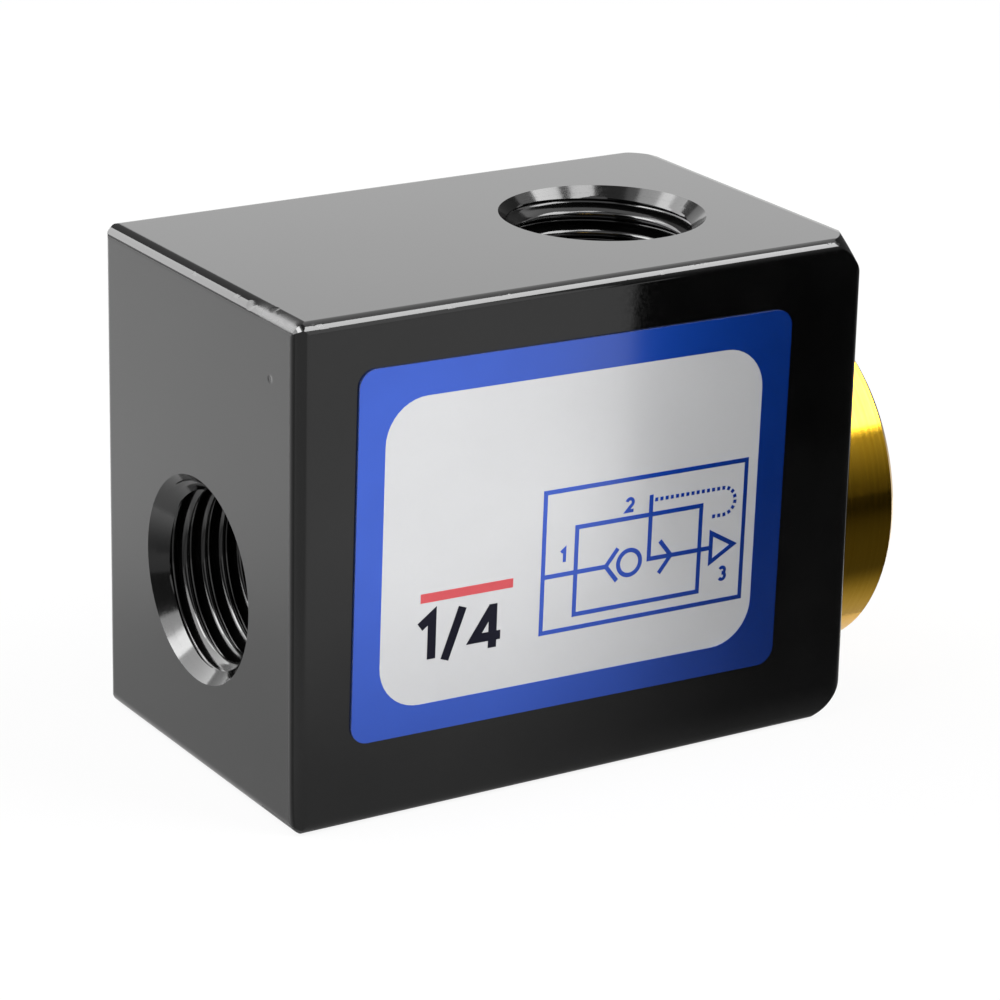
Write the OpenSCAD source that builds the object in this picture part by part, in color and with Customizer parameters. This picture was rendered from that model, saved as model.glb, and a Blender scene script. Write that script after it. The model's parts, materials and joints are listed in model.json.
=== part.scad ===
// Quick exhaust valve: a block body with an inlet port, an outlet port and a screwed exhaust cap.
// Inside, a rubber cup shuttles between the inlet seat and the exhaust seat.
// Frame: X runs from the inlet to the exhaust, the label faces -Y, the outlet faces +Z.
// Origin: the middle of the body's bottom face.

/* [Body] */
// Length of the block, from the inlet face to the cap face
body_length = 43; // [40:0.5:56]
// Width of the block, from the label face to the back
body_width = 26.4; // [26:0.1:40]
// Height of the block
body_height = 34; // [33:0.5:50]
// Height of the inlet and exhaust axis over the bottom face
axis_height = 13.2; // [12.5:0.1:14]
// Radius that breaks the long edges
edge_round = 0.75; // [0.2:0.05:1]
// Radius of the edges round the inlet face
inlet_round = 0.95; // [0.4:0.05:1.5]
// Radius of the edges round the cap face
cap_round = 1; // [0.4:0.05:2]
// Radius of the turned rim that takes the four corners off at the inlet face
inlet_relief = 1; // [0.5:0.1:2]
// Radius of the turned rim that takes the four corners off at the cap face
cap_relief = 3; // [0.5:0.1:4]

/* [Ports] */
// Major radius of the pipe thread in all three ports
port_radius = 6.58; // [5:0.01:6.7]
// Radius of the countersink at a port's mouth
mouth_radius = 7; // [6.8:0.05:7.4]
// Depth of a threaded port, without its drill point
port_depth = 9; // [6:0.5:9.5]
// Angle between a drill's axis and its cutting edge
drill_angle = 59; // [45:1:70]
// Distance of the outlet's axis from the inlet face
outlet_distance = 30.7; // [30:0.1:31.5]

/* [Chamber] */
// Radius of the chamber that the cup shuttles in
chamber_radius = 9; // [8.6:0.1:9.4]
// Distance of the inlet seat from the inlet face
inlet_seat_distance = 17; // [14:0.5:18]
// Radius of the passage from the inlet to its seat
inlet_passage_radius = 3.8; // [2.5:0.1:4.2]
// Radius of the passage from the chamber to the outlet
outlet_passage_radius = 4.2; // [3:0.1:4.4]
// How far the inlet seat stands proud of the chamber's end wall
seat_height = 0.8; // [0.4:0.1:1.5]
// Width of the inlet seat's ring
seat_width = 1.4; // [0.8:0.1:2]

/* [Cup seal] */
// Thickness of the cup's disc
disc_thickness = 3; // [2:0.1:4]
// How far the cup shuttles between its two seats
cup_travel = 2; // [1:0.1:2.5]
// Length of the cup from the back of its disc to the tip of its lip
cup_length = 5.5; // [4.5:0.1:6.5]
// Thickness of the lip at its tip
lip_thickness = 0.9; // [0.6:0.1:1.3]
// How far the lip flares outwards from the disc's rim
lip_flare = 1.4; // [0.8:0.1:1.8]
// Running clearance between the lip and the chamber
lip_clearance = 0.05; // [0.02:0.01:0.1]
// Gap left between the cup and a seat at each end of its travel
seat_gap = 0.05; // [0.02:0.01:0.2]

/* [Exhaust cap] */
// Radius of the cap's flange
flange_radius = 12.25; // [11.5:0.05:12.8]
// Thickness of the cap's flange
flange_thickness = 4.5; // [3:0.05:6]
// Chamfer round the flange's outer rim
flange_chamfer = 0.45; // [0.2:0.05:1]
// Radius of the body's bore for the cap's screwed shank
cap_bore_radius = 10; // [9.8:0.05:10.4]
// Distance of the step at the end of the cap's bore from the inlet face
cap_bore_distance = 36.2; // [36:0.1:37.5]
// Radial clearance of the shank in its bore
shank_clearance = 0.05; // [0.02:0.01:0.15]
// Gap between the end of the shank and the step in the body
shank_end_gap = 0.3; // [0.1:0.1:1]
// Outer radius of the cap's nose
nose_radius = 6.2; // [5.6:0.1:6.4]
// Radius of the exhaust passage through the nose
nose_bore_radius = 4.2; // [3:0.1:4.6]
// Chamfer that leaves a narrow exhaust seat at the nose's tip
nose_chamfer = 0.9; // [0.4:0.1:1.2]

/* [O-ring] */
// Thickness of the O-ring where the bore and its groove hold it
o_ring_section = 1.56; // [1.2:0.02:1.7]
// Clearance between the O-ring and what it seals against
o_ring_clearance = 0.02; // [0.01:0.01:0.05]
// Width of the groove under the flange
groove_width = 2; // [1.8:0.1:2.4]

/* [Label] */
// Length of the label
label_length = 32.7; // [20:0.1:34]
// Height of the label
label_height = 24.9; // [15:0.1:26]
// Thickness of the label's foil
label_thickness = 0.15; // [0.1:0.05:0.3]
// Corner radius of the label
label_round = 1.2; // [0.5:0.1:4]
// Distance of the label's middle from the inlet face
label_distance = 20.5; // [20:0.1:22]
// Height of the label's middle over the bottom face
label_middle = 17.8; // [16:0.1:18.5]
// How far the label leans from level, in degrees
label_lean = 1; // [0:0.1:2]

/* [Hidden] */
$fn = 96;

// Cutting shapes run past the faces that they cut
overrun = 1;
// Places along X, with the inlet face at inlet_x and the cap face at cap_x
inlet_x = -body_length / 2;
cap_x = body_length / 2;
outlet_x = inlet_x + outlet_distance;
inlet_seat_x = inlet_x + inlet_seat_distance;
cup_x = inlet_seat_x + seat_gap;
exhaust_seat_x = cup_x + disc_thickness + cup_travel + seat_gap;
cap_bore_x = inlet_x + cap_bore_distance;
shank_end_x = cap_bore_x + shank_end_gap;
flange_x = cap_x + flange_thickness;
// Radius of a bar about the middle of the block's section that just clears its rounded long edges
bar_clearance = 0.05;
bar_radius = norm([body_width / 2 - edge_round, body_height / 2 - edge_round]) + edge_round + bar_clearance;
// Depth of the cone that a drill leaves between a port and a narrower passage
inlet_point = (port_radius - inlet_passage_radius) / tan(drill_angle);
outlet_point = (port_radius - outlet_passage_radius) / tan(drill_angle);
exhaust_point = (port_radius - nose_bore_radius) / tan(drill_angle);
countersink = mouth_radius - port_radius;
// Sizes of what fits into the chamber and the cap's bore
lip_radius = chamber_radius - lip_clearance;
rim_radius = lip_radius - lip_flare;
rim_chamfer = 0.5;
web_radius = rim_radius - lip_thickness / 2;
shank_radius = cap_bore_radius - shank_clearance;
groove_radius = cap_bore_radius - o_ring_section - 2 * o_ring_clearance;
o_ring_middle = (cap_bore_radius + groove_radius) / 2;

// Cuts one corner of a profile to a quarter circle; the corner points to +X and +Y at the origin
module corner_cut(radius) {
    difference() {
        translate([-radius, -radius]) square(radius + overrun);
        translate([-radius, -radius]) circle(radius);
        translate([-radius - overrun, -radius - overrun]) square([overrun, radius + 2 * overrun]);
        translate([-radius - overrun, -radius - overrun]) square([radius + 2 * overrun, overrun]);
    }
}

// Rectangle around the origin, with its own corner radius at its left and right end
module rounded_profile(length, height, left_round, right_round) {
    difference() {
        square([length, height], center = true);
        for (side = [0, 1]) mirror([0, side]) {
            translate([length / 2, height / 2]) corner_cut(right_round);
            mirror([1, 0]) translate([length / 2, height / 2]) corner_cut(left_round);
        }
    }
}

// Turns a profile of [radius, distance along X] points about the X axis
module turned(points) {
    rotate([90, 0, 90]) rotate_extrude() polygon(points);
}

// Turns such a profile about the inlet and exhaust axis
module on_axis(points) {
    translate([0, 0, axis_height]) turned(points);
}

// Bar turned about the middle of the block's section, with a round rim at each end
module turned_bar() {
    translate([0, 0, body_height / 2]) rotate([90, 0, 90]) rotate_extrude() intersection() {
        rotate(90) rounded_profile(body_length, 2 * bar_radius, inlet_relief, cap_relief);
        translate([0, -body_length]) square([2 * bar_radius, 2 * body_length]);
    }
}

// Outline of the block from three crossed profiles, so that every edge has its radius
module block() {
    intersection() {
        turned_bar();
        translate([0, body_width / 2, body_height / 2]) rotate([90, 0, 0]) linear_extrude(body_width)
            rounded_profile(body_length, body_height, inlet_round, cap_round);
        linear_extrude(body_height) rounded_profile(body_length, body_width, inlet_round, cap_round);
        translate([inlet_x, 0, body_height / 2]) rotate([90, 0, 90]) linear_extrude(body_length)
            rounded_profile(body_width, body_height, edge_round, edge_round);
    }
}

// Inlet: countersunk threaded port, drill point and the passage through its seat
module inlet_cut() {
    on_axis([
        [0, inlet_x - overrun],
        [mouth_radius + overrun, inlet_x - overrun],
        [port_radius, inlet_x + countersink],
        [port_radius, inlet_x + port_depth],
        [inlet_passage_radius, inlet_x + port_depth + inlet_point],
        [inlet_passage_radius, inlet_seat_x + overrun],
        [0, inlet_seat_x + overrun]
    ]);
}

// Outlet: countersunk threaded port, drill point and the passage into the chamber
module outlet_cut() {
    translate([outlet_x, 0, 0]) rotate_extrude() polygon([
        [0, axis_height],
        [outlet_passage_radius, axis_height],
        [outlet_passage_radius, body_height - port_depth - outlet_point],
        [port_radius, body_height - port_depth],
        [port_radius, body_height - countersink],
        [mouth_radius + overrun, body_height + overrun],
        [0, body_height + overrun]
    ]);
}

// Chamber with the proud ring of the inlet seat in its end wall, and the wider bore for the cap
module chamber_cut() {
    seat_outer = inlet_passage_radius + seat_width;
    on_axis([
        [0, inlet_seat_x],
        [seat_outer, inlet_seat_x],
        [seat_outer, inlet_seat_x - seat_height],
        [chamber_radius, inlet_seat_x - seat_height],
        [chamber_radius, cap_bore_x],
        [cap_bore_radius, cap_bore_x],
        [cap_bore_radius, cap_x + overrun],
        [0, cap_x + overrun]
    ]);
}

module valve_body() {
    color("#26272a") difference() {
        block();
        inlet_cut();
        outlet_cut();
        chamber_cut();
    }
}

// One turned piece: flange, grooved and screwed shank, nose with the exhaust seat, exhaust port
module exhaust_cap() {
    color("#c9981f") on_axis([
        [nose_bore_radius, exhaust_seat_x],
        [nose_radius - nose_chamfer, exhaust_seat_x],
        [nose_radius, exhaust_seat_x + nose_chamfer],
        [nose_radius, shank_end_x],
        [shank_radius, shank_end_x],
        [shank_radius, cap_x - groove_width],
        [groove_radius, cap_x - groove_width],
        [groove_radius, cap_x],
        [flange_radius, cap_x],
        [flange_radius, flange_x - flange_chamfer],
        [flange_radius - flange_chamfer, flange_x],
        [mouth_radius, flange_x],
        [port_radius, flange_x - countersink],
        [port_radius, flange_x - port_depth],
        [nose_bore_radius, flange_x - port_depth - exhaust_point]
    ]);
}

module cap_o_ring() {
    color("#1b1b1b") translate([cap_x - groove_width / 2, 0, axis_height]) rotate([0, 90, 0])
        rotate_extrude() translate([o_ring_middle, 0]) circle(d = o_ring_section);
}

// Cup: a disc that shuts on either seat, and a lip that flares towards the exhaust
module shuttle_seal() {
    color("#2b2b2b") on_axis([
        [0, cup_x],
        [rim_radius - rim_chamfer, cup_x],
        [rim_radius, cup_x + rim_chamfer],
        [lip_radius, cup_x + cup_length - rim_chamfer],
        [lip_radius, cup_x + cup_length],
        [lip_radius - lip_thickness, cup_x + cup_length],
        [web_radius, cup_x + disc_thickness],
        [0, cup_x + disc_thickness]
    ]);
}

// Foil stuck on the front face, leaning a little
module label() {
    color("#3f5bb5")
        translate([inlet_x + label_distance, -body_width / 2, label_middle])
        rotate([90, label_lean, 0])
        linear_extrude(label_thickness)
            rounded_profile(label_length, label_height, label_round, label_round);
}

valve_body();
exhaust_cap();
cap_o_ring();
shuttle_seal();
label();
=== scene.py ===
# %% [markdown]
# # Quick exhaust valve
#
# A quick exhaust valve is a small block that sits on an air cylinder. Air enters on the left,
# leaves at the top, and the spent air goes straight out through the gold cap on the right. The
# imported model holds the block, the cap, the seals and the label at their real size. This script
# gives them their finish: it cuts the fine threads, prints the label, and sets up the studio.
# All lengths are metres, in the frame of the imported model.

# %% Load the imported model
import json
import math

import bmesh
import bpy
import numpy as np
from mathutils import Matrix, Vector


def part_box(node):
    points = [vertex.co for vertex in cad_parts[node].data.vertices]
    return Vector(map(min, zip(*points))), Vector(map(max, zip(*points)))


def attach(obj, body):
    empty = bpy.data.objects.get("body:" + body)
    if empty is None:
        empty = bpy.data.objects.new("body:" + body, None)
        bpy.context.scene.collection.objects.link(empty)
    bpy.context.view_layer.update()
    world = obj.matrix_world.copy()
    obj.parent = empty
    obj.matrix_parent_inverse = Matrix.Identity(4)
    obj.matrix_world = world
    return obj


mm = 0.001
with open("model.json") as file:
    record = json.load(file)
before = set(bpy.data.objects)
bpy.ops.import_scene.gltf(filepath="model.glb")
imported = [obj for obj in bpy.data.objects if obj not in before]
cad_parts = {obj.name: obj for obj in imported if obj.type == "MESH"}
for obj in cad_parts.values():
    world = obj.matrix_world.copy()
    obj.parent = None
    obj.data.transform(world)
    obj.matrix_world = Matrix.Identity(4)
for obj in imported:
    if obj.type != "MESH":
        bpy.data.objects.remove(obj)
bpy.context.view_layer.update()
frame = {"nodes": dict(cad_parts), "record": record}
block_low, block_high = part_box("valve_body")
label_low, label_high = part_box("label")
print("nodes:", sorted(frame["nodes"]))
print("block, mm:", [round(size / mm, 2) for size in block_high - block_low])

# %% [markdown]
# ## The camera
#
# The view is a long lens, a little above the block, turned so that the left end and the top show
# too. A camera has a place and three directions. Here the directions come from three angles, which
# is easier to adjust than a quaternion: azimuth turns round the block, elevation looks down on it,
# and roll tilts the picture.

# %% Camera
view_azimuth = math.radians(-32.16)
view_elevation = math.radians(19.52)
view_roll = math.radians(1.25)
view_aim = Vector((0.836, -1.226, 15.328)) * mm
view_distance = 272.5 * mm
view_lens = 145.7
sensor_width = 36
nearest_seen = 10 * mm
farthest_seen = 20


def view_directions(azimuth, elevation, roll):
    """Right, up and forward: level vectors from azimuth and elevation, then turned by roll."""
    forward = Vector((-math.sin(azimuth) * math.cos(elevation),
                      math.cos(azimuth) * math.cos(elevation),
                      -math.sin(elevation)))
    level = Vector((math.cos(azimuth), math.sin(azimuth), 0))
    above = level.cross(forward)
    right = level * math.cos(roll) + above * math.sin(roll)
    up = above * math.cos(roll) - level * math.sin(roll)
    return right, up, forward


view_right, view_up, view_forward = view_directions(view_azimuth, view_elevation, view_roll)
camera_data = bpy.data.cameras.new("camera")
camera_data.lens = view_lens
camera_data.sensor_width = sensor_width
camera_data.clip_start = nearest_seen
camera_data.clip_end = farthest_seen
camera = bpy.data.objects.new("camera", camera_data)
turn = Matrix((view_right, view_up, -view_forward)).transposed()
camera.matrix_world = Matrix.Translation(view_aim - view_forward * view_distance) @ turn.to_4x4()
bpy.context.scene.collection.objects.link(camera)
bpy.context.scene.camera = camera
print("camera at, mm:", [round(value / mm, 1) for value in camera.matrix_world.translation])

# %% [markdown]
# ## Helpers for materials
#
# Every finish is a node tree round one Principled BSDF. Writing the trees is shorter with helpers:
# one adds a node and fills its inputs with numbers or links, some do arithmetic, and one starts a
# material whose patterns read Object coordinates. The pieces sit at the origin with their place in
# the mesh, so Object coordinates are the frame.


# %% Node helpers
def add(tree, kind, inputs=None, **settings):
    """Adds a node, sets its properties, and gives each named or numbered input a value or a link."""
    made = tree.nodes.new(kind)
    for key, value in settings.items():
        setattr(made, key, value)
    for key, value in (inputs or {}).items():
        if isinstance(value, bpy.types.NodeSocket):
            tree.links.new(value, made.inputs[key])
        else:
            made.inputs[key].default_value = value
    return made


def calc(tree, operation, *values):
    """The result of one arithmetic node on one, two or three numbers or sockets."""
    return add(tree, "ShaderNodeMath", dict(enumerate(values)), operation=operation).outputs[0]


def product(tree, first, second):
    """Two values multiplied."""
    return calc(tree, "MULTIPLY", first, second)


def between(tree, share, first, second):
    """The value that lies a share of the way from first to second."""
    return calc(tree, "MULTIPLY_ADD", calc(tree, "SUBTRACT", second, first), share, first)


def vector_calc(tree, operation, *vectors, output="Vector"):
    """The result of one vector node. Its output is Value where that is a plain number."""
    made = add(tree, "ShaderNodeVectorMath", dict(enumerate(vectors)), operation=operation)
    return made.outputs[output]


def split(tree, vector):
    """The X, Y and Z of a vector."""
    return add(tree, "ShaderNodeSeparateXYZ", {0: vector}).outputs


def ramp(tree, value, start, end, low, high):
    """Low up to start, high from end on, and a smooth rise or fall of the value between them."""
    inputs = {"Value": value, "From Min": start, "From Max": end, "To Min": low, "To Max": high}
    return add(tree, "ShaderNodeMapRange", inputs, interpolation_type="SMOOTHSTEP").outputs[0]


def blend(tree, share, first, second):
    """Mixes two colours."""
    return add(tree, "ShaderNodeMix", {0: share, 6: first, 7: second}, data_type="RGBA").outputs[2]


def grey(value):
    """A neutral colour."""
    return (value, value, value, 1)


def new_material(name):
    """A material with a Principled BSDF. Returns it, its tree, the shader and Object coordinates."""
    material = bpy.data.materials.new(name)
    material.use_nodes = True
    tree = material.node_tree
    place = add(tree, "ShaderNodeTexCoord").outputs["Object"]
    return material, tree, tree.nodes["Principled BSDF"], place


def set_bump(tree, shader, height, strength, depth):
    """Tilts the shader's normal by the slope of a height between 0 and 1, scaled to depth metres."""
    inputs = {"Height": height, "Strength": strength, "Distance": depth}
    tree.links.new(add(tree, "ShaderNodeBump", inputs).outputs[0], shader.inputs["Normal"])


# %% [markdown]
# ## Shared effects
#
# Some effects are drawn as node groups, each built once and placed with its own values: a fine
# grain, which every finish uses, dust specks, the rings that a lathe leaves, and a mask near the
# edges of a block.

# %% Node groups
noise_middle = (0.3, 0.7)
ring_detail = 3.0


def new_group(name, inputs, outputs):
    """An empty group with named sockets. Returns it, what comes in and the node for the results."""
    group = bpy.data.node_groups.new(name, "ShaderNodeTree")
    for in_out, sockets in (("INPUT", inputs), ("OUTPUT", outputs)):
        for socket, kind in sockets.items():
            group.interface.new_socket(name=socket, in_out=in_out, socket_type="NodeSocket" + kind)
    return group, group.nodes.new("NodeGroupInput").outputs, group.nodes.new("NodeGroupOutput")


def place_group(tree, group, inputs):
    """Places a group in a material and returns its first output."""
    return add(tree, "ShaderNodeGroup", inputs, node_tree=group).outputs[0]


def make_fine_grain():
    """Noise between 0 and 1, spread so that its middle range fills most of it."""
    group, given, result = new_group(
        "fine_grain", {"Vector": "Vector", "Scale": "Float", "Detail": "Float"}, {"Value": "Float"})
    noise = add(group, "ShaderNodeTexNoise",
                {"Vector": given["Vector"], "Scale": given["Scale"], "Detail": given["Detail"]})
    spread = ramp(group, noise.outputs["Fac"], *noise_middle, 0, 1)
    group.links.new(spread, result.inputs["Value"])
    return group


def make_dust():
    """Round specks: near the middle of a random cell, in only a share of the cells."""
    group, given, result = new_group(
        "dust", {"Vector": "Vector", "Scale": "Float", "Radius": "Float", "Share": "Float"},
        {"Mask": "Float"})
    cells = add(group, "ShaderNodeTexVoronoi", {"Vector": given["Vector"], "Scale": given["Scale"]})
    inside = calc(group, "LESS_THAN", cells.outputs["Distance"], given["Radius"])
    chance = add(group, "ShaderNodeSeparateColor", {"Color": cells.outputs["Color"]}).outputs[0]
    chosen = calc(group, "LESS_THAN", chance, given["Share"])
    group.links.new(product(group, inside, chosen), result.inputs["Mask"])
    return group


def make_lathe_rings():
    """Rings on sides and faces: noise along the distance along the axis plus the distance from it."""
    group, given, result = new_group(
        "lathe_rings", {"Vector": "Vector", "Axis Height": "Float", "Scale": "Float"},
        {"Value": "Float"})
    x, y, z = split(group, given["Vector"])
    above = calc(group, "SUBTRACT", z, given["Axis Height"])
    squares = calc(group, "ADD", product(group, y, y), product(group, above, above))
    along = calc(group, "ADD", x, calc(group, "SQRT", squares))
    rings = add(group, "ShaderNodeTexNoise",
                {"W": along, "Scale": given["Scale"], "Detail": ring_detail}, noise_dimensions="1D")
    spread = ramp(group, rings.outputs["Fac"], *noise_middle, 0, 1)
    group.links.new(spread, result.inputs["Value"])
    return group


def make_near_edge():
    """One near the edges of a box: the middle one of the three distances to its faces is small."""
    group, given, result = new_group(
        "near_edge", {"Vector": "Vector", "Middle": "Vector", "Half": "Vector", "Width": "Float"},
        {"Mask": "Float"})
    from_middle = vector_calc(group, "SUBTRACT", given["Vector"], given["Middle"])
    away = vector_calc(group, "ABSOLUTE", from_middle)
    x, y, z = split(group, vector_calc(group, "SUBTRACT", given["Half"], away))
    wider = calc(group, "MINIMUM", calc(group, "MAXIMUM", x, y), z)
    median = calc(group, "MAXIMUM", calc(group, "MINIMUM", x, y), wider)
    group.links.new(ramp(group, median, 0, given["Width"], 1, 0), result.inputs["Mask"])
    return group


fine_grain = make_fine_grain()
dust = make_dust()
lathe_rings = make_lathe_rings()
near_edge = make_near_edge()
print("groups:", [group.name for group in bpy.data.node_groups])

# %% [markdown]
# ## Black anodised aluminium
#
# The block is milled, then dyed black and sealed. The dye leaves almost no colour of its own, so
# the faces look as bright as what they mirror: that asks for a very dark base, a low roughness and
# the gloss of a clear oxide. A fine grain blurs the mirror image, and more so in the ports, which
# are turned and not polished. A few dust specks lie on it, and the top edges have small knocks.
# One dent shows on the edge over the inlet. From there towards the near corner the edge is rubbed
# bare, with a chip in it, and one small pit lies below it. These marks are less than a tenth of a
# millimetre deep, so they are masks in the finish and not shapes.

# %% Marks on the block
block_middle = (block_low + block_high) / 2
block_half = (block_high - block_low) / 2
ports = [port for port in frame["record"]["mounts"] if port["kind"] == "threaded_hole"]
mouth_radius = 7.0 * mm
mouth_margin = 0.05 * mm
edge_dent = Vector((block_low.x + 0.1 * mm, -6.9 * mm, block_high.z - 0.1 * mm))
edge_chip = Vector((block_low.x + 0.6 * mm, -9.2 * mm, block_high.z))
face_pit = Vector((block_low.x, -9.8 * mm, 29.7 * mm))
marks = ((edge_dent, 0.6 * mm), (edge_chip, 0.4 * mm), (face_pit, 0.35 * mm))
mark_floor = 0.3
edge_width = 1.0 * mm
top_band = (block_high.z - 1.1 * mm, block_high.z - 0.6 * mm)
rub_width = (block_low.x + 0.6 * mm, block_low.x + 1.5 * mm)
rub_start = (edge_dent.y - 2 * mm, edge_dent.y)
rub_end = (block_low.y + 0.5 * mm, block_low.y + 1.2 * mm)
knock_edge, knock_noise = (0.5, 0.9), (0.9, 1.0)
patch_noise, patch_wear = (0.1, 0.5), (0.5, 1)


def noise_at(tree, place, scale, detail):
    """The fine grain in a material, with its own scale and detail."""
    return place_group(tree, fine_grain, {"Vector": place, "Scale": scale, "Detail": detail})


def spot(tree, place, middle, radius):
    """One at a point, falling to zero at radius."""
    distance = vector_calc(tree, "DISTANCE", place, middle, output="Value")
    return ramp(tree, distance, mark_floor * radius, radius, 1, 0)


def most(tree, values):
    """The largest of several values."""
    largest = values[0]
    for value in values[1:]:
        largest = calc(tree, "MAXIMUM", largest, value)
    return largest


def inside_port(tree, place, port):
    """One inside a port.

    The distance from the axis is the length of the way from the port's middle crossed with the axis.
    """
    way = vector_calc(tree, "SUBTRACT", place, port["pos_m"])
    across = vector_calc(tree, "CROSS_PRODUCT", way, port["axis"])
    away = vector_calc(tree, "LENGTH", across, output="Value")
    along = vector_calc(tree, "DOT_PRODUCT", way, port["axis"], output="Value")
    deep = calc(tree, "LESS_THAN", calc(tree, "ABSOLUTE", along), port["dims"]["length_mm"] * mm)
    return product(tree, calc(tree, "LESS_THAN", away, mouth_radius + mouth_margin), deep)


def worn_edges(tree, place):
    """Two masks on the top edges: scattered knocks, and the patches of the rubbed stretch."""
    x, y, z = split(tree, place)
    edge = place_group(tree, near_edge, {"Vector": place, "Middle": block_middle,
                                         "Half": block_half, "Width": edge_width})
    top_edge = product(tree, edge, ramp(tree, z, *top_band, 0, 1))
    knocks = ramp(tree, noise_at(tree, place, scale=900.0, detail=2.0), *knock_noise, 0, 1)
    knocked = product(tree, ramp(tree, top_edge, *knock_edge, 0, 1), knocks)
    left = ramp(tree, x, *rub_width, 1, 0)
    near = product(tree, ramp(tree, y, *rub_start, 1, 0), ramp(tree, y, *rub_end, 0, 1))
    stretch = product(tree, product(tree, left, near), top_edge)
    patches = ramp(tree, noise_at(tree, place, scale=700.0, detail=3.0), *patch_noise, *patch_wear)
    return knocked, product(tree, stretch, patches)


print("marks on the block:", len(marks), "ports:", [port["name"] for port in ports])

# %% [markdown]
# The masks then feed the three sockets that make the finish. Base Color takes the dye, the dust
# and the bare metal. Roughness adds up the blur of the grain, the ports, the marks and the wear.
# The bump holds the grain, which is very shallow, and the marks and knocks, which go down.

# %% Anodised finish
dye_dark, dye_light = grey(0.0008), grey(0.0022)
dust_grey, dust_cover = grey(0.6), 0.45
bare_grey, knock_bare, rub_bare = grey(0.45), 0.1, 0.3
face_rough, cloud_rough, port_rough = (0.03, 0.06), 0.01, 0.07
mark_rough, knock_rough, rub_rough = 0.25, 0.15, 0.5
grain_rise, knock_drop = 0.003, 0.15
mark_depth, mark_strength = 0.06 * mm, 0.6
oxide_ior = 1.6


def make_anodised_black():
    """Black dye under clear oxide, with dust, marks and wear."""
    material, tree, shader, place = new_material("anodised_black")
    grain = noise_at(tree, place, scale=5200.0, detail=2.0)
    cloud = noise_at(tree, place, scale=160.0, detail=3.0)
    specks = place_group(tree, dust, {"Vector": place, "Scale": 330.0, "Radius": 0.04, "Share": 0.2})
    knocked, rubbed = worn_edges(tree, place)
    marked = most(tree, [spot(tree, place, middle, radius) for middle, radius in marks])
    turned = most(tree, [inside_port(tree, place, port) for port in ports])

    dyed = blend(tree, cloud, dye_dark, dye_light)
    dusty = blend(tree, product(tree, specks, dust_cover), dyed, dust_grey)
    bare = most(tree, [product(tree, knocked, knock_bare), product(tree, rubbed, rub_bare)])
    bare = product(tree, bare, calc(tree, "SUBTRACT", 1, marked))
    tree.links.new(blend(tree, bare, dusty, bare_grey), shader.inputs["Base Color"])

    rough = calc(tree, "MULTIPLY_ADD", cloud, cloud_rough, ramp(tree, grain, 0, 1, *face_rough))
    for mask, blur in ((marked, mark_rough), (turned, port_rough),
                       (knocked, knock_rough), (rubbed, rub_rough)):
        rough = calc(tree, "MULTIPLY_ADD", mask, blur, rough)
    tree.links.new(rough, shader.inputs["Roughness"])

    low = calc(tree, "MULTIPLY_ADD", knocked, knock_drop, marked)
    height = calc(tree, "SUBTRACT", product(tree, grain, grain_rise), low)
    set_bump(tree, shader, height, mark_strength, mark_depth)
    shader.inputs["IOR"].default_value = oxide_ior
    return material


anodised_black = make_anodised_black()
print("finish:", anodised_black.name)

# %% [markdown]
# ## Gold and rubber
#
# The cap is bright turned metal: full metallic, with rings from the lathe in its colour, roughness
# and bump. The O-ring and the cup are moulded rubber, matt and a little uneven.

# %% Gold and rubber finishes
axis_height = next(port["pos_m"][2] for port in ports if port["name"] == "exhaust_port")
gold_dark, gold_light = (0.77, 0.44, 0.025, 1), (0.83, 0.49, 0.04, 1)
gold_stain, stain_cover, stain_rough = (0.70, 0.38, 0.015, 1), 0.2, 0.03
ring_rough = (0.08, 0.12)
ring_depth, ring_strength = 0.004 * mm, 0.02
rubber_depth, rubber_strength = 0.02 * mm, 0.3
rubber_spread = 0.15


def make_turned_gold():
    """Gold-coloured metal with rings round the cap's axis and faint stains."""
    material, tree, shader, place = new_material("turned_gold")
    rings = place_group(tree, lathe_rings,
                        {"Vector": place, "Axis Height": axis_height, "Scale": 6000.0})
    stains = noise_at(tree, place, scale=900.0, detail=3.0)
    shade = blend(tree, rings, gold_dark, gold_light)
    stained = blend(tree, product(tree, stains, stain_cover), shade, gold_stain)
    tree.links.new(stained, shader.inputs["Base Color"])
    rough = calc(tree, "MULTIPLY_ADD", stains, stain_rough, ramp(tree, rings, 0, 1, *ring_rough))
    tree.links.new(rough, shader.inputs["Roughness"])
    shader.inputs["Metallic"].default_value = 1
    set_bump(tree, shader, rings, ring_strength, ring_depth)
    return material


def make_moulded_rubber(name, dark, light, roughness):
    """Matt rubber: a slow change between two greys, and a fine grain in roughness and bump."""
    material, tree, shader, place = new_material(name)
    grain = noise_at(tree, place, scale=2600.0, detail=4.0)
    bloom = noise_at(tree, place, scale=240.0, detail=3.0)
    tree.links.new(blend(tree, bloom, grey(dark), grey(light)), shader.inputs["Base Color"])
    rough = ramp(tree, grain, 0, 1, roughness, roughness + rubber_spread)
    tree.links.new(rough, shader.inputs["Roughness"])
    set_bump(tree, shader, grain, rubber_strength, rubber_depth)
    return material


turned_gold = make_turned_gold()
seal_rubber = make_moulded_rubber("seal_rubber", dark=0.018, light=0.03, roughness=0.5)
cup_rubber = make_moulded_rubber("cup_rubber", dark=0.03, light=0.05, roughness=0.6)
print("finishes:", turned_gold.name, seal_rubber.name, cup_rubber.name)

# %% [markdown]
# ## Foil and ink
#
# The label is a silver foil under a clear film, so it is part metal and part paper-like, with a
# coat. The blue and the red ink are thin and let the foil's metal and the film show. The black ink
# is thick, dull and bare.

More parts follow.
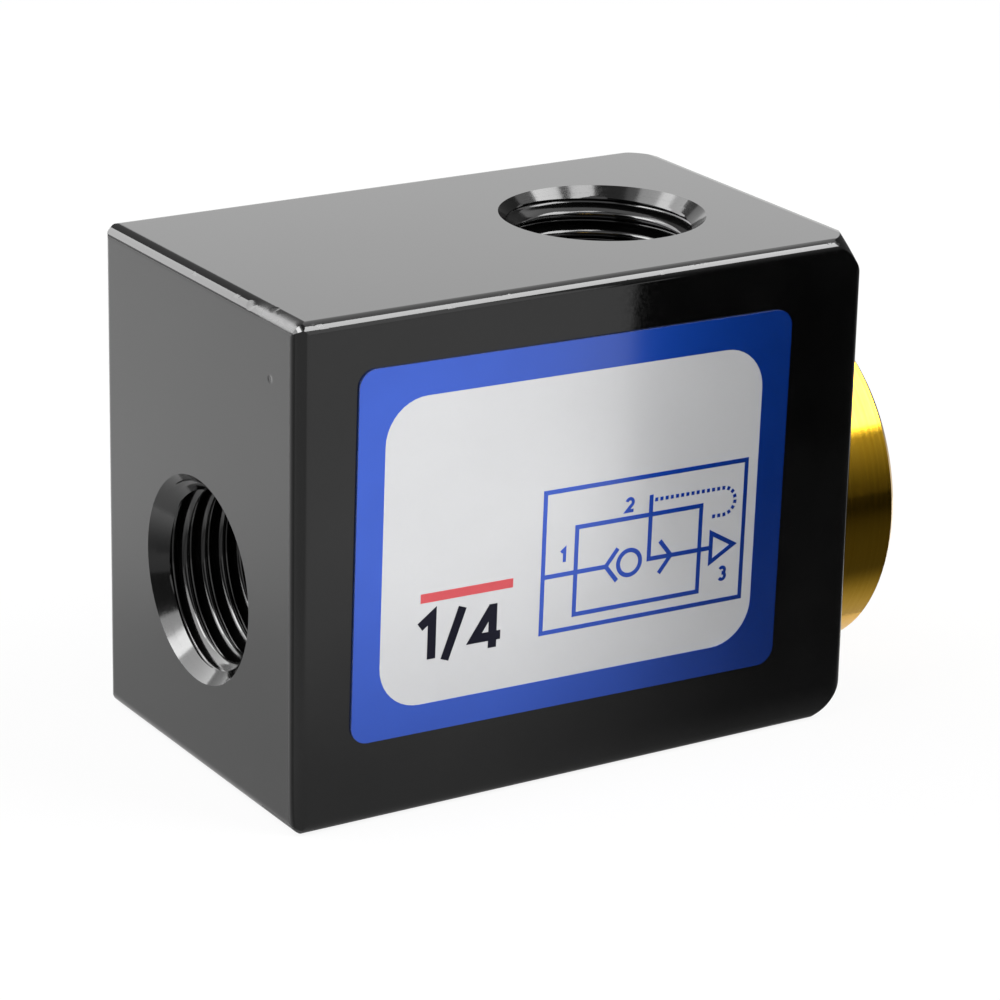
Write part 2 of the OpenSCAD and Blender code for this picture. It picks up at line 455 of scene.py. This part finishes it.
# %% Foil and ink finishes
grain_share, cloud_share = 0.2, 0.8
cut_band = (label_low.y + 0.015 * mm, label_low.y + 0.04 * mm)
cut_blue = (0.03, 0.12, 0.7, 1)
print_spread = 0.015
wave_depth, wave_strength = 0.01 * mm, 0.15
film_rough = 0.08
film_ior = 1.85
ink_ior = 1.5
dull_ior = 1.25


def make_print(name, dark, light, metallic, roughness, film, ior=ink_ior):
    """A print on foil: two close tones mixed by a fine grain, some of the foil's metal, and a film.

    The cut edge of the foil lies behind its face and is dark blue from the ink.
    """
    material, tree, shader, place = new_material(name)
    grain = noise_at(tree, place, scale=6000.0, detail=2.0)
    cloud = noise_at(tree, place, scale=200.0, detail=2.0)
    share = calc(tree, "MULTIPLY_ADD", grain, grain_share, product(tree, cloud, cloud_share))
    cut_edge = ramp(tree, split(tree, place)["Y"], *cut_band, 0, 1)
    tone = blend(tree, share, (*dark, 1), (*light, 1))
    tree.links.new(blend(tree, cut_edge, tone, cut_blue), shader.inputs["Base Color"])
    rough = ramp(tree, grain, 0, 1, roughness, roughness + print_spread)
    tree.links.new(rough, shader.inputs["Roughness"])
    set_bump(tree, shader, cloud, wave_strength, wave_depth)
    shader.inputs["Metallic"].default_value = metallic
    shader.inputs["IOR"].default_value = ior
    shader.inputs["Coat Weight"].default_value = film
    shader.inputs["Coat Roughness"].default_value = film_rough
    shader.inputs["Coat IOR"].default_value = film_ior
    return material


silver_foil = make_print("silver_foil", (0.86, 0.865, 0.88), (0.885, 0.89, 0.905),
                         metallic=0.65, roughness=0.22, film=0.8)
blue_ink = make_print("blue_ink", (0.006, 0.115, 0.84), (0.012, 0.13, 0.90),
                      metallic=0.96, roughness=0.25, film=0.95)
black_ink = make_print("black_ink", (0.004, 0.004, 0.012), (0.008, 0.008, 0.018),
                       metallic=0.0, roughness=0.3, film=0.0, ior=dull_ior)
red_ink = make_print("red_ink", (0.62, 0.04, 0.055), (0.70, 0.055, 0.07),
                     metallic=0.1, roughness=0.35, film=0.6)

node_finish = {"valve_body": anodised_black, "exhaust_cap": turned_gold, "cap_o_ring": seal_rubber,
               "shuttle_seal": cup_rubber, "label": silver_foil}
for node, finish in node_finish.items():
    frame["nodes"][node].data.materials.clear()
    frame["nodes"][node].data.materials.append(finish)
print("finishes:", [material.name for material in bpy.data.materials])

# %% [markdown]
# ## Building a mesh from arrays
#
# New pieces are grids of points, worked out as whole arrays. A grid needs a list of quads, a mesh
# and a weld: the weld joins the points that two sides of a seam share, and the normals are then
# turned outwards.

# %% Mesh helpers
weld_distance = 0.0002 * mm
crease_angle = math.radians(38)


def grid_quads(rows, columns, wrap_columns=False, wrap_rows=False):
    """Quads of a grid numbered row by row. Wrapping joins the last column or row to the first."""
    row = np.arange(rows if wrap_rows else rows - 1)[:, None]
    column = np.arange(columns if wrap_columns else columns - 1)[None, :]
    next_row = (row + 1) % rows
    next_column = (column + 1) % columns
    corners = [row * columns + column, row * columns + next_column,
               next_row * columns + next_column, next_row * columns + column]
    return np.stack(corners, axis=-1).reshape(-1, 4)


def join_parts(parts):
    """Puts several meshes, each its points and its quads, into one list of points and one of quads."""
    counts = np.cumsum([0] + [len(points) for points, quads in parts])
    points = np.concatenate([points for points, quads in parts])
    quads = np.concatenate([quads + start for (part, quads), start in zip(parts, counts)])
    return points, quads


def add_piece(name, points, quads, material, slot):
    """Makes a welded, closed mesh, gives it a finish, and fixes it to the valve's housing."""
    mesh = bpy.data.meshes.new(name)
    mesh.from_pydata(points.tolist(), [], quads.tolist())
    shape = bmesh.new()
    shape.from_mesh(mesh)
    bmesh.ops.remove_doubles(shape, verts=shape.verts, dist=weld_distance)
    bmesh.ops.dissolve_degenerate(shape, edges=shape.edges, dist=weld_distance)
    bmesh.ops.recalc_face_normals(shape, faces=shape.faces)
    open_edges = sum(1 for edge in shape.edges if len(edge.link_faces) != 2)
    shape.to_mesh(mesh)
    shape.free()
    mesh.shade_smooth()
    mesh.set_sharp_from_angle(angle=crease_angle)
    mesh.materials.append(material)
    piece = bpy.data.objects.new(name, mesh)
    bpy.context.scene.collection.objects.link(piece)
    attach(piece, "housing")
    print(name, "faces:", len(mesh.polygons), "open edges:", open_edges)


# %% [markdown]
# ## The tapped ports
#
# Each port is drilled, tapped with a 1/4 inch pipe thread and countersunk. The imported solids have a
# plain wall at the thread's outer radius, so the thread is a sleeve inside that wall. A grid of
# angle and depth would cut across the thread and leave saw teeth. This grid follows the helix
# instead: one parameter runs along the thread, the other across one pitch, so the crests are grid
# lines.

# %% Threads
thread_pitch = 1.337 * mm
thread_crest = 5.72 * mm
thread_root_gap = 0.02 * mm
thread_run_out = 1.3 * mm
mouth_overlap = 0.02 * mm
sleeve_depth_in_wall = 0.17 * mm
points_per_turn = 144
points_per_pitch = 16


def smooth_step(value):
    """Rises from 0 to 1 with level ends: three times the square less twice the cube."""
    held = np.clip(value, 0, 1)
    return held * held * (3 - 2 * held)


def thread_sleeve(wall_middle, outward, wall_radius, wall_length):
    """Points and quads of a threaded sleeve.

    The depth grows by one pitch a turn. The radius swings from crest to root and back across each
    pitch, fades to the crest near the bottom, and is at least that of the countersink, which
    shrinks as fast as the depth grows. Four plain rings behind the thread close the sleeve.
    """
    mouth_depth = mouth_radius - wall_radius
    mouth = wall_middle + outward * (wall_length / 2 + mouth_depth)
    start = mouth_depth - mouth_overlap
    end = mouth_depth + wall_length
    turns = math.ceil((end - start) / thread_pitch) + 1
    angle = np.linspace(0, 2 * np.pi * turns, points_per_turn * turns + 1)[None, :]
    across = np.linspace(0, 1, points_per_pitch + 1)[:, None]
    depth = np.clip(start + thread_pitch * (angle / (2 * np.pi) - 1 + across), start, end)
    swing = smooth_step(1 - np.abs(2 * across - 1))
    reach = wall_radius - thread_root_gap - thread_crest
    radius = thread_crest + reach * swing * smooth_step((end - depth) / thread_run_out)
    radius = np.maximum(radius, mouth_radius - depth)

    side = np.array(outward.orthogonal().normalized())
    other = np.cross(np.array(outward), side)

    def ring_points(angle, radius, depth):
        """Points at an angle round the port's axis, a radius from it and a depth below its mouth."""
        turned = np.cos(angle)[..., None] * side - np.sin(angle)[..., None] * other
        points = np.array(mouth) + radius[..., None] * turned - depth[..., None] * np.array(outward)
        return points.reshape(-1, 3)

    wall = ring_points(np.broadcast_to(angle, depth.shape), radius, depth)
    outside = wall_radius + sleeve_depth_in_wall
    back_radius = np.array([mouth_radius - start, outside, outside, thread_crest])[:, None]
    back_depth = np.array([start, start, end, end])[:, None]
    round_once = np.broadcast_to(angle[:, :points_per_turn], (len(back_depth), points_per_turn))
    back = ring_points(round_once, np.broadcast_to(back_radius, round_once.shape),
                       np.broadcast_to(back_depth, round_once.shape))
    return join_parts([(wall, grid_quads(*depth.shape)),
                       (back, grid_quads(*round_once.shape, wrap_columns=True))])


thread_finish = {"inlet_port": (anodised_black, "black_anodised"),
                 "outlet_port": (anodised_black, "black_anodised"),
                 "exhaust_port": (turned_gold, "gold_metal")}
for port in ports:
    sleeve = thread_sleeve(Vector(port["pos_m"]), Vector(port["axis"]), port["dims"]["r_mm"] * mm,
                           port["dims"]["length_mm"] * mm)
    add_piece(port["name"].replace("port", "thread"), *sleeve, *thread_finish[port["name"]])

# %% [markdown]
# ## The printed label
#
# The foil has a blue border with a round-cornered silver window, and the symbol of the valve: a
# ball that shuts one of two seats, inside a frame. Print is drawn as thin fields of ink, because an
# outline stays sharp at any distance. Each field is a ribbon between two rows of points. The label
# leans by one degree, so its points are given in the label's own millimetres, right and up from its
# middle, and carried onto the foil.

# %% Ink helpers
label_lean = math.radians(1.0)
label_size = np.array([32.7, 24.9])
label_round = 1.2
ink_thickness = 0.012
ink_coat = 0.002
label_middle = np.array((label_low + label_high) / 2)
label_face = label_low.y
label_right = np.array([math.cos(label_lean), 0, -math.sin(label_lean)])
label_up = np.array([math.sin(label_lean), 0, math.cos(label_lean)])


def on_label(flat, height):
    """Carries label millimetres to the frame, at a height in millimetres over the foil."""
    flat = np.asarray(flat, float)
    foil = np.array([label_middle[0], label_face, label_middle[2]])
    along = flat[..., :1] * label_right + flat[..., 1:] * label_up
    return foil + mm * (along - height * np.array([0, 1, 0]))


def ink_ribbon(one_side, other_side, closed, coat=0):
    """A thin closed solid between two rows of flat points: four corners at each step along them.

    Ribbons that cross get different coats, each a little higher, so that no two tops lie in one
    plane.
    """
    top = ink_thickness + coat * ink_coat
    corners = np.stack([on_label(one_side, top), on_label(other_side, top),
                        on_label(other_side, -ink_thickness),
                        on_label(one_side, -ink_thickness)], axis=1)
    quads = grid_quads(len(corners), 4, wrap_columns=True, wrap_rows=closed)
    if not closed:
        last = 4 * (len(corners) - 1)
        quads = np.concatenate([quads, [[3, 2, 1, 0], [last, last + 1, last + 2, last + 3]]])
    return corners.reshape(-1, 3), quads


def stroke(path, width, closed=False, coat=0):
    """A line of ink: each point moves half the width to both sides, along its segments' bisector."""
    path = np.asarray(path, float)
    step = np.roll(path, -1, axis=0) - path
    if not closed:
        step[-1] = step[-2]
    step /= np.linalg.norm(step, axis=1, keepdims=True)
    normal = np.stack([-step[:, 1], step[:, 0]], axis=1)
    before = np.roll(normal, 1, axis=0)
    if not closed:
        before[0] = normal[0]
    shift = (normal + before) / (1 + np.sum(normal * before, axis=1, keepdims=True)) * width / 2
    return ink_ribbon(path + shift, path - shift, closed, coat)


def arc(middle, radius, start, end, steps=20):
    """Points on a circle from one angle to another, in degrees."""
    angle = np.radians(np.linspace(start, end, steps + 1))
    return np.asarray(middle) + radius * np.stack([np.cos(angle), np.sin(angle)], axis=1)


def rounded_box(low, high, radius, steps=10):
    """Outline of a rectangle, each corner a quarter circle."""
    (left, bottom), (right, top) = np.asarray(low) + radius, np.asarray(high) - radius
    corners = ((right, top), (left, top), (left, bottom), (right, bottom))
    return np.concatenate([arc(corner, radius, 90 * turn, 90 * turn + 90, steps)
                           for turn, corner in enumerate(corners)])


def dashes(path, width, dash, gap):
    """Cuts a path into short strokes by its length."""
    path = np.asarray(path, float)
    length = np.concatenate([[0], np.cumsum(np.linalg.norm(np.diff(path, axis=0), axis=1))])

    def at(distance):
        """Points at distances along the path, between its own points."""
        return np.stack([np.interp(distance, length, path[:, axis]) for axis in (0, 1)], axis=-1)

    starts = np.arange(0, length[-1] - dash, dash + gap)
    return [stroke(at(np.linspace(start, start + dash, 3)), width) for start in starts]


# %% [markdown]
# The border is the ribbon between the label's outline and the window's. The symbol is read from
# left to right: air comes in along a line, a chevron is the inlet seat, a circle is the ball, and a
# second chevron is the exhaust seat. The line from the top is the outlet, and a dotted line takes
# its pressure round to the exhaust arrow. The ports have plain numbers: 1 is the inlet, 2 the
# outlet and 3 the exhaust.

# %% Border and symbol
window_low = np.array([-14.4, -10.5])
window_high = np.array([14.25, 10.25])
window_round = 3.0
line_width = 0.31
flow = -3.35
frame_left = -2.35
frame_corners = (frame_left, -7.2, 13.35, 2.43)
chamber_corners = (0.16, -6.28, 9.87, -0.26)
inlet_seat, exhaust_seat = 2.5, 7.6
seat_depth, seat_half = 0.9, 1.12
ball_middle, ball_radius, ball_steps = 4.33, 0.86, 40
outlet_line, outlet_top = 5.86, 1.1
arrow_foot, arrow_tip, arrow_half = 10.8, 12.6, 1.02
bypass_start, bypass_end = (6.15, 0.72), (10.6, -1.16)
bypass_bend, bypass_radius = (11.62, -0.22), 0.94
dot_width, dot_length, dot_gap = 0.26, 0.24, 0.17
number_height, number_stroke = 0.9, 0.24
port_numbers = {"1": (-1.1, -2.5), "2": (3.9, 0.2), "3": (11.55, -5.75)}


def box_path(left, bottom, right, top):
    """The four corners of a rectangle."""
    return [(left, bottom), (right, bottom), (right, top), (left, top)]


def chevron(tip, foot, half):
    """An arrow head on the flow line, from its upper foot over the tip to its lower foot."""
    return [(foot, flow + half), (tip, flow), (foot, flow - half)]


def digit(figure, corner, height, width):
    """One figure as strokes, on a box one unit high that is scaled to height and moved to corner."""
    shapes = {
        "1": [[(0.1, 0.76), (0.4, 0.98), (0.4, 0)]],
        "2": [np.concatenate([arc((0.32, 0.7), 0.27, 165, -38), [(0.06, 0.05), (0.64, 0.05)]])],
        "3": [arc((0.3, 0.73), 0.23, 150, -95), arc((0.3, 0.28), 0.26, 95, -150)],
        "4": [[(0.52, 0), (0.52, 1)], [(0.52, 0.95), (0.06, 0.27), (0.72, 0.27)]],
        "/": [[(0.0, -0.08), (0.42, 1.06)]],
    }
    return [stroke(np.asarray(corner) + height * np.asarray(shape), width, coat=coat)
            for coat, shape in enumerate(shapes[figure])]


def label_symbol():
    """All strokes of the valve's symbol, in one mesh."""
    inlet_chevron = chevron(inlet_seat, inlet_seat + seat_depth, seat_half)
    exhaust_chevron = chevron(exhaust_seat, exhaust_seat - seat_depth, seat_half)
    arrow = chevron(arrow_tip, arrow_foot, arrow_half)
    ball = arc((ball_middle, flow), ball_radius, 0, 360, ball_steps)[:-1]
    outlet = [(outlet_line, outlet_top), (outlet_line, flow), (arrow_foot, flow)]
    parts = [stroke(box_path(*frame_corners), line_width, closed=True),
             stroke(box_path(*chamber_corners), line_width, closed=True),
             stroke([(frame_left, flow), (inlet_seat, flow)], line_width, coat=1),
             stroke(inlet_chevron, line_width, coat=2),
             stroke(ball, line_width, closed=True),
             stroke(outlet, line_width, coat=1),
             stroke(exhaust_chevron, line_width, coat=2),
             stroke(arrow, line_width, closed=True, coat=2)]
    bend = arc(bypass_bend, bypass_radius, 90, -90)
    parts += dashes(np.concatenate([[bypass_start], bend, [bypass_end]]), dot_width, dot_length, dot_gap)
    for figure, corner in port_numbers.items():
        parts += digit(figure, corner, number_height, number_stroke)
    return join_parts(parts)


border = ink_ribbon(rounded_box(-label_size / 2, label_size / 2, label_round),
                    rounded_box(window_low, window_high, window_round), closed=True)
add_piece("label_border", *border, blue_ink, "printed_foil")
add_piece("label_symbol", *label_symbol(), blue_ink, "printed_foil")

# %% [markdown]
# To the left of the symbol stands the size of the ports, 1/4 inch, in black, with a red rule over
# it. Its figures are the same strokes as the numbers of the ports, only taller and bolder.

# %% Port size
size_height = 3.0
size_foot = -7.5
bold_stroke = 0.62
size_lefts = {"1": -11.8, "/": -9.6, "4": -7.6}
rule_height = -3.3
rule_ends = (-11.5, -4.6)
size_parts = [part for figure, left in size_lefts.items()
              for part in digit(figure, (left, size_foot), size_height, bold_stroke)]
add_piece("label_size", *join_parts(size_parts), black_ink, "printed_foil")
rule = stroke([(end, rule_height) for end in rule_ends], bold_stroke)
add_piece("label_rule", *rule, red_ink, "printed_foil")

# %% [markdown]
# ## The studio
#
# A glossy black block shows the room more than its own colour. So the room is built for it: a pale
# floor, one wide window of soft light to the left and behind, a dimmer box low behind that the top
# mirrors, and one at the front right that draws a bright line along the front edge and the top of
# the cap. The floor and the surround look white to the camera through Is Camera Ray, and the
# surround is white in mirror images and through glass too.

# %% Floor and surround
floor_half = 2.0
floor_drop = 0.02 * mm
floor_tone = 0.74
floor_whiteness = 0.9
white_from, white_to = 0.05, 0.3
fill_light = 0.3


def camera_ray(tree):
    """One for a ray that comes straight from the camera."""
    return add(tree, "ShaderNodeLightPath").outputs["Is Camera Ray"]


def clear_ray(tree):
    """One for a ray from the camera, from a mirror image or through glass."""
    path = add(tree, "ShaderNodeLightPath").outputs
    return most(tree, [path["Is Camera Ray"], path["Is Glossy Ray"], path["Is Transmission Ray"]])


def empty_material(name):
    """A material without nodes but Object coordinates. Returns it, its tree and the coordinates."""
    material = bpy.data.materials.new(name)
    material.use_nodes = True
    tree = material.node_tree
    tree.nodes.clear()
    return material, tree, add(tree, "ShaderNodeTexCoord").outputs["Object"]


def make_pale_floor():
    """A matt floor that takes the block's shadow and turns plain white for the camera further out."""
    material, tree, place = empty_material("pale_floor")
    away = vector_calc(tree, "LENGTH", place, output="Value")
    lit = add(tree, "ShaderNodeBsdfDiffuse", {"Color": grey(floor_tone)}).outputs[0]
    white = add(tree, "ShaderNodeEmission", {"Color": grey(1), "Strength": 1.0}).outputs[0]
    share = product(tree, camera_ray(tree), ramp(tree, away, white_from, white_to, floor_whiteness, 1))
    mixed = add(tree, "ShaderNodeMixShader", {0: share, 1: lit, 2: white})
    add(tree, "ShaderNodeOutputMaterial", {"Surface": mixed.outputs[0]})
    return material


def stage_sheet(name, points, rows, columns, material):
    """A sheet of the studio, which isn't part of the valve."""
    mesh = bpy.data.meshes.new(name)
    mesh.from_pydata(points.reshape(-1, 3).tolist(), [], grid_quads(rows, columns).tolist())
    mesh.materials.append(material)
    sheet = bpy.data.objects.new(name, mesh)
    bpy.context.scene.collection.objects.link(sheet)
    return sheet


floor_ends = (-floor_half, floor_half)
floor_points = np.array([(x, y, -floor_drop) for y in floor_ends for x in floor_ends])
stage_sheet("floor", floor_points, 2, 2, make_pale_floor())

world = bpy.data.worlds.new("surround")
world.use_nodes = True
surround = world.node_tree.nodes["Background"]
surround.inputs["Color"].default_value = grey(1)
level = calc(world.node_tree, "MAXIMUM", clear_ray(world.node_tree), fill_light)
world.node_tree.links.new(level, surround.inputs["Strength"])
bpy.context.scene.world = world
bpy.context.scene.view_settings.view_transform = "Standard"
print("floor, m:", 2 * floor_half, "fill light:", fill_light)


# %% Lamps
def soft_box(name, azimuth, elevation, distance, width, height, radiance):
    """A rectangular lamp that faces the block.

    Azimuth is from +X, in degrees as elevation is. Power is radiance times pi times area.
    """
    lamp = bpy.data.lights.new(name, "AREA")
    lamp.shape = "RECTANGLE"
    lamp.size = width
    lamp.size_y = height
    lamp.energy = radiance * math.pi * width * height
    box = bpy.data.objects.new(name, lamp)
    around, above = math.radians(azimuth), math.radians(elevation)
    outward = Vector((math.cos(around) * math.cos(above),
                      math.sin(around) * math.cos(above),
                      math.sin(above)))
    box.location = block_middle + outward * distance
    box.rotation_mode = "QUATERNION"
    box.rotation_quaternion = (-outward).to_track_quat("-Z", "Y")
    box.visible_camera = False
    bpy.context.scene.collection.objects.link(box)
    print(name, "watts:", round(lamp.energy, 2))


soft_box("window", azimuth=146, elevation=36.5, distance=0.8, width=1.39, height=0.9, radiance=3.4)
soft_box("back_box", azimuth=58, elevation=16, distance=0.8, width=0.62, height=0.34, radiance=0.4)
soft_box("front_box", azimuth=-38, elevation=46, distance=0.7, width=0.5, height=0.375, radiance=8.5)

# %% [markdown]
# The mirror images on the glossy parts are painted with cards that stand outside the picture, as
# a photographer would shape them. Here a card is a glowing sheet that is hidden from every ray but
# glossy ones, with its tone as its glow, so it lights nothing and casts no shadow: a painted
# reflection. Seven hang in the room, as patches of a sphere: four paint dark reflections over parts
# of the white surround, and three pale ones paint highlights on the ports' rims.

# %% Painted reflections in the room
card_distance = 0.55
card_rows, card_columns = 9, 25
hidden_rays = ("camera", "diffuse", "transmission", "shadow")


def make_painted_reflection(name, points, rows, columns, tone):
    """A glowing sheet that only mirror images show: a painted reflection. The tone function makes its
    brightness from x, y and z.
    """
    material, tree, place = empty_material(name)
    strength = tone(tree, *split(tree, place))
    glow = add(tree, "ShaderNodeEmission", {"Color": grey(1), "Strength": strength}).outputs[0]
    add(tree, "ShaderNodeOutputMaterial", {"Surface": glow})
    card = stage_sheet(name, points, rows, columns, material)
    for ray in hidden_rays:
        setattr(card, "visible_" + ray, False)
    print(name, "made")


def hang_painted_reflection(name, azimuths, elevations, tone):
    """A painted reflection: a glowing patch of a sphere round the block.

    It lies between two azimuths and two elevations, in degrees from +X and from level.
    """
    around = np.radians(np.linspace(*azimuths, card_columns))[None, :]
    above = np.radians(np.linspace(*elevations, card_rows))[:, None]
    outward = np.stack([np.cos(around) * np.cos(above), np.sin(around) * np.cos(above),
                        np.sin(above) + 0 * around], axis=-1)
    points = np.array(block_middle) + card_distance * outward
    make_painted_reflection(name, points, card_rows, card_columns, lambda tree, x, y, z: tone)


# Painted dark reflections: glowing sheets, seen only in mirror images, that darken parts of the white
# surround.
hang_painted_reflection("painted_dark_back", azimuths=(62, 104), elevations=(24, 60), tone=0.3)
hang_painted_reflection("painted_dark_roof", azimuths=(180, 264), elevations=(64, 84), tone=0.25)
hang_painted_reflection("painted_dark_left", azimuths=(190, 222), elevations=(-2, 48), tone=0.1)
hang_painted_reflection("painted_dark_right_back", azimuths=(0, 46), elevations=(-1.5, 32), tone=0.12)
# Painted highlights: bright glowing sheets, seen only in mirror images, that light the ports' rims.
hang_painted_reflection("painted_highlight_roof", azimuths=(264, 310), elevations=(60, 84), tone=9)
hang_painted_reflection("painted_highlight_left", azimuths=(150, 189), elevations=(35, 55), tone=14)
hang_painted_reflection("painted_highlight_back", azimuths=(120, 146), elevations=(39, 54), tone=9)

# %% [markdown]
# The other painted reflections lie on the floor or stand on it. The two before the block share one
# tone, which paints the front of the block grey on the left and black on the right. Far out the edge
# between grey and black is sharp, as the edge of a cloth is. At the block's foot it is soft, and the
# grey darkens towards the block: painted shade of the corner where block and floor meet. The left
# card ends level with the front face, so that the left face doesn't mirror it, and the other one
# reaches a little under the block.

# %% Painted reflections and shade before the block
foot = block_low.y
card_height = 0.2 * mm
card_reach = 600 * mm
card_overlap = 5 * mm
near_y, far_y = foot + card_overlap, foot - card_reach
dark_edge_slope, dark_edge_start = 0.684, 2.5 * mm
soft_range, soft_widths = (5 * mm, 60 * mm), (15 * mm, 0.3 * mm)
# The grey darkens towards the block's foot: painted shade in the mirror image.
front_range, front_greys = (0, 45 * mm), (0.40, 0.72)
side_range, side_greys = (-8 * mm, 35 * mm), (0.52, 0.46)
side_to_front = (-35 * mm, -15 * mm)
black_range, black_tones = (2 * mm, 60 * mm), (0.06, 0.012)
# Under the block the black part is lifted towards grey: painted tone for the floor that the bottom edge
# mirrors.
foot_tone = 0.4


def lay_painted_reflection(name, corners, tone):
    """A painted reflection with four corners, two at one end and two at the other."""
    make_painted_reflection(name, np.array(corners), 2, 2, tone)


def on_floor(ys, xs):
    """The corners of a rectangle that lies on the floor."""
    return [(x, y, card_height) for y in ys for x in xs]


def painted_shade_front_tone(tree, x, y, z):
    """Painted reflection: grey left of a slanting line and black right of it; the step narrows with the
    distance out. Near the foot the grey darkens as painted shade.
    """
    out = calc(tree, "SUBTRACT", foot, y)
    line = calc(tree, "MULTIPLY_ADD", out, dark_edge_slope, dark_edge_start)
    softness = ramp(tree, out, *soft_range, *soft_widths)
    past = calc(tree, "DIVIDE", calc(tree, "SUBTRACT", x, line), softness)
    front_grey = ramp(tree, out, *front_range, *front_greys)
    side_grey = ramp(tree, out, *side_range, *side_greys)
    lit = between(tree, ramp(tree, x, *side_to_front, 0, 1), side_grey, front_grey)
    black = calc(tree, "ADD", ramp(tree, out, -card_overlap, card_overlap, foot_tone, 0),
                 ramp(tree, out, *black_range, *black_tones))
    return between(tree, ramp(tree, past, -1, 1, 0, 1), lit, black)


# Painted reflections before the block, seen only in mirror images, with painted shade near its foot.
lay_painted_reflection("painted_shade_front_left", on_floor((foot, far_y), (-card_reach, block_low.x)), painted_shade_front_tone)
lay_painted_reflection("painted_shade_front", on_floor((near_y, far_y), (block_low.x, card_reach)), painted_shade_front_tone)

# %% [markdown]
# A painted wall stands at the far end of the black part: a sheet, darker towards the floor, that
# paints the cap dark below its highlight. A side sheet carries the painted shade on to the left,
# where the inlet's thread mirrors it, and meets the lit floor where the left face begins to see that.
# A sheet on the right paints shade that keeps the cap's rim and the turned corner of the block dark.
# All three are seen only in mirror images.

# %% Painted reflections and shade beside the block
wall_out = 200 * mm
wall_sides = (128 * mm, 600 * mm)
wall_height = 165 * mm
wall_tones = (0.05, 0.35)
side_first, side_slope = 0.05, 1.5
side_reach = 150 * mm
side_depth = 165 * mm
side_tones = (0.3, 1.3)
side_left = block_low.x - side_reach
right_start = block_high.x + 40 * mm
right_full = block_high.x + 100 * mm
right_end = block_high.x + 600 * mm
right_back = foot + 600 * mm
right_tones = (0.8, 0.12)


def painted_dark_wall_tone(tree, x, y, z):
    """A painted dark reflection that grows from the floor to the top of the painted wall."""
    return ramp(tree, z, 0, wall_height, *wall_tones)


def painted_shade_side_tone(tree, x, y, z):
    """Painted shade: grows with the slope of the line from the block's near corner, dark to the left,
    lit behind.
    """
    slope = calc(tree, "DIVIDE", calc(tree, "SUBTRACT", y, foot), calc(tree, "SUBTRACT", block_low.x, x))
    return ramp(tree, slope, side_first, side_slope, *side_tones)


def painted_shade_right_tone(tree, x, y, z):
    """Painted shade: falls with the distance from the cap."""
    return ramp(tree, x, right_start, right_full, *right_tones)


wall_corners = [(x, foot - wall_out, z) for z in (0, wall_height) for x in wall_sides]
side_corners = [(x, y, card_height) for y in (foot, foot + side_depth)
                for x in (side_left, block_low.x - (y - foot) / side_slope)]
# Painted reflections beside the block: a dark wall, painted shade to the left and to the right.
lay_painted_reflection("painted_dark_wall", wall_corners, painted_dark_wall_tone)
lay_painted_reflection("painted_shade_side", side_corners, painted_shade_side_tone)
lay_painted_reflection("painted_shade_right", on_floor((near_y, right_back), (right_start, right_end)), painted_shade_right_tone)
